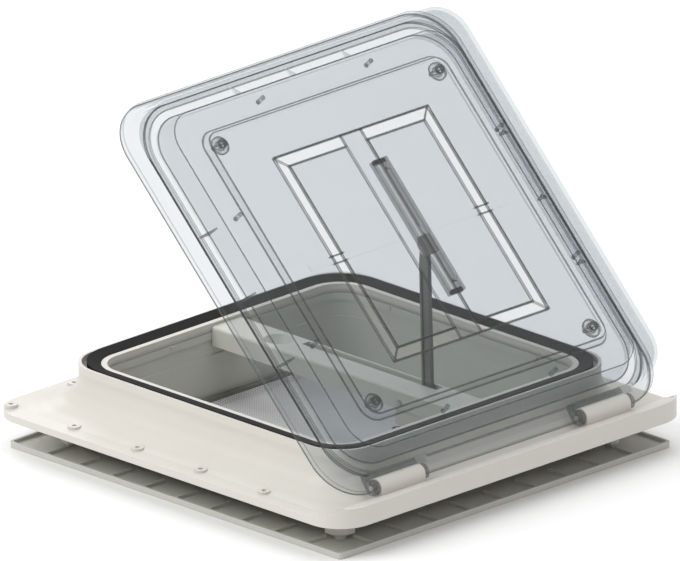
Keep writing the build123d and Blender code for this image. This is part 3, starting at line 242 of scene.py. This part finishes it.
floor_reach = 12.0
floor_gap = 0.0004
floor_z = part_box("inner_frame")[0].z - floor_gap
floor_plan = [(-floor_reach, -floor_reach), (floor_reach, -floor_reach),
              (floor_reach, floor_reach), (-floor_reach, floor_reach)]
floor_mesh = bpy.data.meshes.new("pale_floor")
floor_mesh.from_pydata([(x, y, floor_z) for x, y in floor_plan], [], [(0, 1, 2, 3)])
floor = bpy.data.objects.new("pale_floor", floor_mesh)
scene.collection.objects.link(floor)
paint = Finish("pale_floor_paint")
speck = paint.noise(paint.place(), 3.0)
floor_mesh.materials.append(paint.shaded(
    Base_Color=paint.mix(speck, colour(0.93, 0.93, 0.93), colour(0.95, 0.95, 0.95)),
    Roughness=0.9,
    Specular_IOR_Level=0.1,
))


# Outer frame and hinge covers: white weatherproof plastic, injection moulded and screwed to the roof.
# The tool leaves a fine spark-eroded grain, and the large faces are very slightly uneven.
def dress(material, *nodes):
    """Puts one finish on the CAD nodes' own material slots."""
    for name in nodes:
        piece = frame["nodes"][name]
        for slot in piece.material_slots:
            slot.material = material
        if not piece.material_slots:
            piece.data.materials.append(material)


def moulded_plastic(name, light, dark, roughness, grain, soft=None):
    """Two close tones in soft clouds, with a grain of about half a millimetre. soft is given the
    finish and returns the normal under the grain."""
    finish = Finish(name)
    at = finish.place()
    cloud = finish.noise(at, 9.0)
    uneven = finish.noise(at, 60.0)
    fine = finish.noise(at, 1900.0, detail=1.0)
    return finish.shaded(
        Base_Color=finish.mix(cloud, light, dark),
        Roughness=roughness - 0.05 + 0.1 * uneven,
        Normal=finish.bump(fine, grain, 0.0002, soft(finish) if soft else None),
    )


flare_half = 0.222
flare_foot = 0.0078
flare_top = 0.050
flare_hinge_end = 0.19
flare_sweep = 0.009
mould_radius = 0.0005


def swept_flare(finish):
    """The flare is one smooth hollow sweep from flange to collar, so its bands run into each other
    there, and every other edge has a mould radius of half a millimetre."""
    x, y, z = finish.split(finish.place())
    in_plan = x.size().most(y.size()) < flare_half
    on_flare = in_plan * z.between(flare_foot, flare_top) * (x < flare_hinge_end)
    sharp = finish.node("Bevel", {"samples": 4}, {"Radius": mould_radius})
    smooth = finish.node("Bevel", {"samples": 6}, {"Radius": flare_sweep})
    return finish.node("Mix", {"data_type": "VECTOR"}, {0: on_flare, 4: sharp, 5: smooth}, out=1)


white = (colour(0.635, 0.612, 0.562), colour(0.605, 0.583, 0.535))
white_feel = {"roughness": 0.42, "grain": 0.12}
dress(moulded_plastic("white_flare_plastic", *white, **white_feel, soft=swept_flare), "outer_frame")
white_plastic = moulded_plastic("white_moulded_plastic", *white, **white_feel)
dress(white_plastic, "hinge_cover_left", "hinge_cover_right")


# Inner frame, crossbeam, gearbox housing and side rails: the same moulding process in a grey with a
# touch of olive. The net and the blind run in the two rails, which are pushed into the liner.
olive = (colour(0.55, 0.55, 0.50), colour(0.51, 0.51, 0.463))
olive_plastic = moulded_plastic("olive_grey_plastic", *olive, roughness=0.5, grain=0.15)
dress(olive_plastic, "inner_frame", "crossbeam", "gearbox_housing", "side_rail_left", "side_rail_right")


# Lid seal: black rubber, extruded as a hollow lip and pushed into the channel on top of the collar.
# It is matt, with faint streaks along its length from the die.
rubber = Finish("black_rubber")
at = rubber.place()
streak = rubber.noise(at, 240.0, detail=3.0)
pores = rubber.noise(at, 2600.0, detail=1.0)
dress(rubber.shaded(
    Base_Color=rubber.mix(streak, colour(0.004, 0.004, 0.0045), colour(0.010, 0.010, 0.0105)),
    Roughness=0.55 + 0.15 * streak,
    Specular_IOR_Level=0.12,
    Normal=rubber.bump(pores, 0.15, 0.0002),
), "lid_seal")


# Outer pane: rim, shoulder, drafted wall and rounded top edge, blown from one sheet of clear acrylic
# with a faint grey-blue tint. A flat bead is pressed into its top as a rectangle, with a strip down
# the middle and two short ties. Along the folds of the sheet and round the bead, a fine dark line is
# painted: painted shade for the light that the folds bend aside. The bead is drawn with an untinted
# film and less of the glossy surface.
lid_joint = next(joint for joint in frame["joints"] if joint["name"] == "lid_hinge")
hinge = Vector(lid_joint["pos_m"])
rest_turn = -math.radians(lid_joint["range_deg"][0])


def closed_lid(finish):
    """Where a point lies when the lid is shut: along X, across in Y, and height above the hinges."""
    from_hinge = {0: finish.place(), 1: tuple(hinge)}
    moved = finish.node("VectorMath", {"operation": "SUBTRACT"}, from_hinge)
    shut = {"Vector": moved, "Angle": -rest_turn}
    along, across, height = finish.split(finish.node("VectorRotate", {"rotation_type": "Y_AXIS"}, shut))
    return along + hinge.x, across, height


def outside(along, across, half_x, half_y, radius, centre=0.0):
    """Distance outside a rounded rectangle: how far a point lies past the centre of the corner's arc,
    less the arc's radius. It is negative inside."""
    past_x = (along - centre).size() - (half_x - radius)
    past_y = across.size() - (half_y - radius)
    corner_x = past_x.most(0.0)
    corner_y = past_y.most(0.0)
    corner = (corner_x * corner_x + corner_y * corner_y) ** 0.5
    return corner + past_x.most(past_y).least(0.0) - radius


def fold(distance, height, at, level, width=0.0013):
    """1 on the fold at one distance and one height of the profile, falling to 0 a width away."""
    aside = distance - at
    above = height - level
    return (1.0 - (aside * aside + above * above) ** 0.5 / width).most(0.0)


def clear_acrylic(finish, lines, clear=0.0, extra_grey=0.0):
    """A blue-grey film that lets light through, mixed with a glossy surface. The surface's share grows
    with the third power of the turn away from the eye. Where the sheet is seen edge on, its colour is
    painted darker: painted shade for the light that the sheet bends aside. lines are painted dark
    lines at the folds, painted shade of the same kind. clear marks where the film is untinted and the
    surface's share is smaller. The last argument adds to the surface's share, which makes the sheet
    greyer."""
    steep = finish.turned_away() ** 3.0
    # Painted shade: the fold lines and the faces seen edge on darken the surface's colour.
    dark = (steep * 0.3 + lines).least(1.0)
    share = (0.085 + extra_grey + 0.09 * steep) * (1.0 - 0.8 * clear)
    wave = finish.noise(finish.place(), 14.0)
    surface = finish.principled(
        Base_Color=finish.mix(dark, colour(0.165, 0.162, 0.158), colour(0.03, 0.031, 0.03)),
        Roughness=0.04,
        IOR=1.49,
        Normal=finish.bump(wave, 0.06, 0.002),
    )
    film = finish.node("BsdfTransparent", {}, {"Color": colour(0.927, 0.942, 0.951)})
    if clear:
        bare = finish.node("BsdfTransparent", {}, {"Color": colour(1.0, 1.0, 1.0)})
        film = finish.node("MixShader", {}, {0: clear, 1: film, 2: bare})
    solid_share = (share + 0.88 * lines).least(0.95)
    return finish.show(finish.node("MixShader", {}, {0: solid_share, 1: film, 2: surface}))


rim_half_x = 0.2283
rim_half_y = 0.2304
rim_corner = 0.048
rim_centre = -0.0021
rim_foot = -0.002
rim_foot_width = 0.0024
rim_top = 0.0047
top_level = 0.040
bead_centre = 0.0014
bead_half_x = 0.1193
bead_half_y = 0.1068
bead_width = 0.0127
bead_line = 0.0016
strip_half = 0.014
strip_line = 0.0014
tie_half = 0.004
tie_line = 0.0010
tie_middle = 0.1005
tie_reach = 0.010
outer = Finish("clear_outer_acrylic")
along, across, height = closed_lid(outer)
off_rim = outside(along, across, rim_half_x, rim_half_y, rim_corner, rim_centre)
foot_line = fold(off_rim, height, 0.0, rim_foot, rim_foot_width)
rim_lines = foot_line + 0.5 * fold(off_rim, height, 0.0, rim_top)
off_bead_x = (along - bead_centre).size() - bead_half_x
off_bead_y = across.size() - bead_half_y
off_bead = off_bead_x.most(off_bead_y)
off_strip = 1.0 - (across.size() < strip_half)
on_top = height > top_level
bead = off_bead.between(-bead_width, 0.0) * off_strip * on_top
bead_lines = off_bead.near(0.0, bead_line) + off_bead.near(-bead_width, bead_line) * off_strip
mitre = (off_bead_x - off_bead_y).near(0.0, bead_line) * bead
strip_lines = across.size().near(strip_half, strip_line) * (off_bead < 0.0)
at_tie = (across.size() - tie_middle).size() < tie_reach
tie = (along - bead_centre).size().near(tie_half, tie_line) * at_tie
# Painted dark lines on the rim's folds and round the bead, the strip and the ties.
outer_painted_lines = rim_lines + on_top * (bead_lines + mitre + strip_lines + tie).least(1.0)
dress(clear_acrylic(outer, outer_painted_lines.least(1.0), clear=bead), "outer_pane")


# Inner pane: flange, wall, land on the seal, and a step up to the flat panel, formed from one thinner
# sheet that sits in the outer one. Its flange is untinted next to the wall and greyer towards the cut
# edge. Its folds and the edges of the flange carry painted dark lines, and its wall and step carry a
# painted grey: painted shade for the light that the sheet bends aside.
# Light passes both sheets, so neither of them casts a shadow.
wall_half = 0.2026
wall_corner = 0.040
wall_foot = 0.0126
wall_lean = -0.0062
wall_top = 0.0310
land_height = 0.0340
step_half = 0.1690
step_corner = 0.018
step_lean = -0.0039
step_low = 0.0345
step_high = 0.0375
step_line = 0.0017
panel_height = 0.0408
flange_top = 0.0130
flange_clear_from = 0.0010
flange_dark_from = 0.0091
flange_edge = 0.0152
inner = Finish("clear_inner_acrylic")
along, across, height = closed_lid(inner)
off_wall = outside(along, across, wall_half, wall_half, wall_corner)
off_step = outside(along, across, step_half, step_half, step_corner)
wall_lines = fold(off_wall, height, 0.0, wall_foot) + fold(off_wall, height, wall_lean, land_height)
step_foot_line = fold(off_step, height, 0.0, land_height, step_line)
step_top_line = fold(off_step, height, step_lean, panel_height, step_line)
low = height < flange_top
flange_lines = low * (off_wall.near(flange_edge, 0.0012) + 0.7 * off_wall.near(flange_dark_from, 0.0010))
inner_painted_lines = wall_lines + step_foot_line + step_top_line + flange_lines
flange_clear = low * off_wall.between(flange_clear_from, flange_dark_from)
flange_grey_band = low * (off_wall > flange_dark_from)
on_wall = height.between(flange_top, wall_top)
on_step = height.between(step_low, step_high)
# Painted grey on the wall and the step, as shade for the light they bend aside. The flange's outer band
# is only made greyer.
inner_grey_and_painted_shade = 0.05 * flange_grey_band + 0.02 * on_wall + 0.10 * on_step
dress(clear_acrylic(inner, inner_painted_lines.least(1.0), clear=flange_clear, extra_grey=inner_grey_and_painted_shade), "inner_pane")
for name in ("outer_pane", "inner_pane"):
    frame["nodes"][name].visible_shadow = False


# Pips: short clear posts that stand on the inner pane's land and keep the two panes apart.
# They are moulded of the same acrylic. Their ends carry painted dark rings, and the posts carry a
# painted grey: painted shade for the light that they bend aside.
pip_foot = 0.0340
pip_top = 0.0440
pip_line = 0.0012
pip = Finish("clear_pip_acrylic")
along, across, height = closed_lid(pip)
pip_painted_rings = height.near(pip_foot, pip_line) + height.near(pip_top, pip_line)
dress(clear_acrylic(pip, 0.6 * pip_painted_rings, extra_grey=0.10), "pane_spacers")


# Hinge lugs: smoked acrylic plates below the lid's back edge, with two ears each that turn on the
# hinge pins. They are dark where their faces are seen edge on.
smoked = Finish("smoked_acrylic")
edge_on = smoked.turned_away()
dress(smoked.shaded(
    Base_Color=smoked.mix(edge_on, colour(0.22, 0.225, 0.225), colour(0.05, 0.05, 0.05)),
    Roughness=0.12,
    Alpha=(0.28 + 0.45 * edge_on).least(1.0),
), "hinge_lugs")


# Turn buttons: four smoked plugs near the corners of the inner pane, pushed in and turned by a grip.
# Dark rings are painted at the rim, the cap and the stem, and two short dark lines at the grip:
# painted shade for the light that their walls bend aside.
button_place = 0.151
button_rim = 0.0095
button_cap = 0.0050
button_stem = 0.0033
grip_half = 0.0015
grip_reach = 0.0092
button = Finish("smoked_button_acrylic")
along, across, height = closed_lid(button)
button_x = along.size() - button_place
button_y = across.size() - button_place
off_button = (button_x * button_x + button_y * button_y) ** 0.5
wide_rings = off_button.near(button_rim, 0.0012) + off_button.near(button_cap, 0.0012)
grip = button_x.size().near(grip_half, 0.0007) * (off_button < grip_reach)
button_painted_rings = (wide_rings + off_button.near(button_stem, 0.0008) + grip).least(1.0)
dress(button.shaded(
    Base_Color=button.mix(button_painted_rings, colour(0.20, 0.21, 0.215), colour(0.03, 0.03, 0.03)),
    Roughness=0.15,
    Alpha=0.16 + 0.6 * button_painted_rings,
), "pane_plugs")


# Gussets: three thin fins along each long side of the inner pane, moulded with its flange.
# They brace the flange against the wall. They are painted a darker grey than the pane, and darker
# still edge on: painted shade for the light that the fins bend aside, so they show as short dark
# strokes across the flange.
gusset_plan = np.array([[0.2016, 0.01135], [0.2148, 0.01135], [0.1985, 0.02335]])
gusset_pitch = 0.076
gusset_half = 0.001


def gusset_fins(name, places, half_thickness):
    """Triangular prisms with the foot at the wall, the foot at the flange's edge and the top on the
    wall. Each is drawn for the closed lid at its along and side, and turned about the hinge."""
    along, side = np.array(places).T[:, :, None, None]
    edge = np.array([-half_thickness, half_thickness])[None, :, None]
    across, height = side * gusset_plan[:, 0], gusset_plan[:, 1]
    x, y, z = np.broadcast_arrays(along + edge - hinge.x, across, height)
    turned = np.stack([
        hinge.x + x * math.cos(rest_turn) + z * math.sin(rest_turn),
        y,
        hinge.z - x * math.sin(rest_turn) + z * math.cos(rest_turn),
    ], axis=-1)
    ends = [(0, 1, 2), (5, 4, 3)]
    sides = [(0, 3, 4), (0, 4, 1), (1, 4, 5), (1, 5, 2), (2, 5, 3), (2, 3, 0)]
    faces = np.array(ends + sides) + 6 * np.arange(len(places))[:, None, None]
    faces = np.where(side > 0, faces[..., ::-1], faces)
    mesh = bpy.data.meshes.new(name)
    mesh.from_pydata(turned.reshape(-1, 3).tolist(), [], faces.reshape(-1, 3).tolist())
    made = bpy.data.objects.new(name, mesh)
    scene.collection.objects.link(made)
    return made


fin_places = [(along, side) for side in (-1, 1) for along in (-gusset_pitch, 0.0, gusset_pitch)]
fins = gusset_fins("side_gussets", fin_places, gusset_half)
fin = Finish("gusset_acrylic")
edge_on = fin.turned_away()
fins.data.materials.append(fin.shaded(
    Base_Color=fin.mix(edge_on, colour(0.10, 0.12, 0.13), colour(0.03, 0.03, 0.03)),
    Roughness=0.08,
    Alpha=(0.35 + 0.4 * edge_on).least(0.9),
))
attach(fins, "lid")


# Lid rail: a clear smoked profile, open below, extruded and screwed under the inner pane. The arm's
# shoe runs in it. Fine dark lines are painted along it at its walls and at the edges of its slot:
# painted shade for the light that they bend aside.
rail_centre = 0.024
rail_face = 0.0088
rail_inside = 0.0068
rail_slot = 0.0045
rail = Finish("smoked_rail")
along, across, height = closed_lid(rail)
off_centre = (across - rail_centre).size()
# Painted dark lines at the rail's walls and at the edges of its slot.
rail_edges = off_centre.near(rail_face, 0.0009) + off_centre.near(rail_slot, 0.0007)
rail_painted_lines = rail_edges + off_centre.near(rail_inside, 0.0005)
draw_mark = rail.noise(rail.stretched(60.0, 2500.0, 60.0), 1.0)
dress(rail.shaded(
    Base_Color=rail.mix(rail_painted_lines.least(1.0), colour(0.17, 0.18, 0.185), colour(0.03, 0.032, 0.032)),
    Roughness=0.2,
    Alpha=(0.07 + 0.06 * draw_mark + 0.5 * rail_painted_lines).least(0.9),
), "lid_rail")


# Arm, rollers and fixings: the arm and the two rollers are drawn aluminium, anodised dark on the arm.
# Screws, pins, shaft and brackets are zinc-plated steel, and the bushes are brass.
def drawn_metal(name, light, dark, roughness):
    """Fine lines along X from drawing, in tone and in height."""
    finish = Finish(name)
    line = finish.noise(finish.stretched(40.0, 900.0, 900.0), 1.0, detail=3.0)
    return finish.shaded(
        Base_Color=finish.mix(line, light, dark),
        Metallic=0.9,
        Roughness=roughness - 0.06 + 0.12 * line,
        Normal=finish.bump(line, 0.08, 0.0001),
    )


anodised = (colour(0.28, 0.28, 0.268), colour(0.22, 0.22, 0.21))
dress(drawn_metal("dark_anodised_aluminium", *anodised, 0.45), "lift_arm")
mill = (colour(0.72, 0.73, 0.74), colour(0.62, 0.63, 0.64))
dress(drawn_metal("mill_aluminium", *mill, 0.38), "net_roller", "blind_roller")
zinc = (colour(0.62, 0.62, 0.60), colour(0.50, 0.50, 0.49))
dress(drawn_metal("zinc_plated_steel", *zinc, 0.3),
      "clamp_screws", "hinge_pins", "rail_screws", "shoe_pin", "worm_shaft", "arm_pivot_pin",
      "beam_screws", "gearbox_screws", "crank_screw", "knob_pin", "roller_brackets")
brass = (colour(0.62, 0.47, 0.22), colour(0.52, 0.38, 0.17))
dress(drawn_metal("sintered_brass", *brass, 0.42), "worm_bearings")


# Small mouldings: black glass-filled nylon for the crank, its knob and the rail's end caps, and a dark
# olive plastic for the two pull bars. What runs on something else, the arm's shoe, the worm wheel and
# the pull bars' shoes, is plain white nylon.
black = (colour(0.035, 0.035, 0.035), colour(0.05, 0.05, 0.05))
black_nylon = moulded_plastic("black_nylon", *black, roughness=0.5, grain=0.2)
dress(black_nylon, "crank_arm", "crank_knob", "rail_end_caps")
dark_olive = (colour(0.15, 0.15, 0.135), colour(0.12, 0.12, 0.108))
bar_plastic = moulded_plastic("dark_olive_plastic", *dark_olive, roughness=0.5, grain=0.2)
dress(bar_plastic, "net_bar", "blind_bar")
pale = (colour(0.66, 0.65, 0.60), colour(0.60, 0.59, 0.54))
white_nylon = moulded_plastic("white_nylon", *pale, roughness=0.38, grain=0.08)
dress(white_nylon, "rail_shoe", "worm_wheel", "net_bar_shoes", "blind_bar_shoes")


# Insect net: one sheet of woven fibre, drawn tight between the side rails, from the roller at the
# hinge side to the pull bar. The threads stand 3.2 mm apart.
def sheet_mesh(name, points, flat):
    """Joins a grid of points by quads, with the flat cloth's own metres as its UV map."""
    columns, rows = points.shape[:2]
    number = np.arange(columns * rows).reshape(columns, rows)
    faces = np.stack([number[:-1, :-1], number[1:, :-1], number[1:, 1:], number[:-1, 1:]], axis=-1)
    mesh = bpy.data.meshes.new(name)
    mesh.from_pydata(points.reshape(-1, 3), [], faces.reshape(-1, 4).tolist())
    weave = mesh.uv_layers.new(name="weave")
    corners = np.empty(len(mesh.loops), dtype=np.int32)
    mesh.loops.foreach_get("vertex_index", corners)
    weave.data.foreach_set("uv", flat.reshape(-1, 2)[corners].ravel())
    mesh.polygons.foreach_set("use_smooth", np.ones(len(mesh.polygons), dtype=bool))
    sheet = bpy.data.objects.new(name, mesh)
    scene.collection.objects.link(sheet)
    return sheet


def woven_sheet(name, low, high, columns, rows):
    """A level grid at the top of the box from low to high, over its length and, evenly to both sides
    of the middle, its width."""
    u, v = np.meshgrid(np.linspace(0, 1, columns), np.linspace(0, 1, rows), indexing="ij")
    length, half = high.x - low.x, high.y
    points = np.stack([low.x + length * u, half * (2 * v - 1), np.full_like(u, high.z)], axis=-1)
    return sheet_mesh(name, points, np.stack([length * u, 2 * half * v], axis=-1))


thread_pitch = 0.0032
thread_share = 0.46
net_low, net_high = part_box("net_mesh")
net = woven_sheet("insect_net", net_low, net_high, 60, 50)
mesh_weave = Finish("woven_net")
uv = mesh_weave.node("UVMap", {"uv_map": "weave"})
warp, weft = mesh_weave.split(uv)[:2]
across_warp = (warp / thread_pitch).fraction()
across_weft = (weft / thread_pitch).fraction()
thread = 1.0 - (across_warp > thread_share) * (across_weft > thread_share)
tone = mesh_weave.noise(uv, 30.0)
net.data.materials.append(mesh_weave.shaded(
    Base_Color=mesh_weave.mix(tone, colour(0.56, 0.56, 0.565), colour(0.68, 0.68, 0.685)),
    Roughness=0.7,
    Alpha=thread,
))
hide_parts("net_mesh")
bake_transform(net)


# Blind: a pale cloth with a coated back. Only the short end between its roller and its bar is out.
# The rest is wound on the roller, turn on turn.
blind_low, blind_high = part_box("blind_cloth")
blind = woven_sheet("blind_end", blind_low, blind_high, 12, 50)
cloth = Finish("coated_blind_cloth")
rib = cloth.noise(cloth.stretched(900.0, 120.0, 900.0), 1.0)
blind_cloth = cloth.shaded(
    Base_Color=cloth.mix(rib, colour(0.60, 0.60, 0.56), colour(0.52, 0.52, 0.48)),
    Roughness=0.85,
    Normal=cloth.bump(rib, 0.3, 0.0002),
)
blind.data.materials.append(blind_cloth)
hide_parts("blind_cloth")
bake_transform(blind)


def wound_sheet(name, axis_x, axis_z, inner, outer, turns, half, columns, rows):
    """A spiral about Y whose radius grows evenly with the turn, and the length of its winding."""
    u, v = np.meshgrid(np.linspace(0, 1, columns), np.linspace(-1, 1, rows), indexing="ij")
    turn = 2 * np.pi * turns * u
    radius = inner + (outer - inner) * u
    points = np.stack([axis_x + radius * np.cos(turn), half * v, axis_z + radius * np.sin(turn)], axis=-1)
    steps = np.linalg.norm(np.diff(points[:, 0], axis=0), axis=-1)
    wound = np.concatenate([[0.0], np.cumsum(steps)])
    flat = np.stack([np.broadcast_to(wound[:, None], u.shape), half * (v + 1)], axis=-1)
    return sheet_mesh(name, points, flat), float(wound[-1])


roll_turns = 8
roll_depth = 0.0014
roll_low, roll_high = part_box("blind_roll")
roll_x = (roll_low.x + roll_high.x) / 2
roll_z = (roll_low.z + roll_high.z) / 2
roll_outer = (roll_high.z - roll_low.z) / 2
roll_place = (roll_x, roll_z, roll_outer - roll_depth, roll_outer)
winding, wound_length = wound_sheet("blind_winding", *roll_place, roll_turns, roll_high.y, 400, 3)
winding.data.materials.append(blind_cloth)
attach(winding, "blind_winder")
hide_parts("blind_roll")
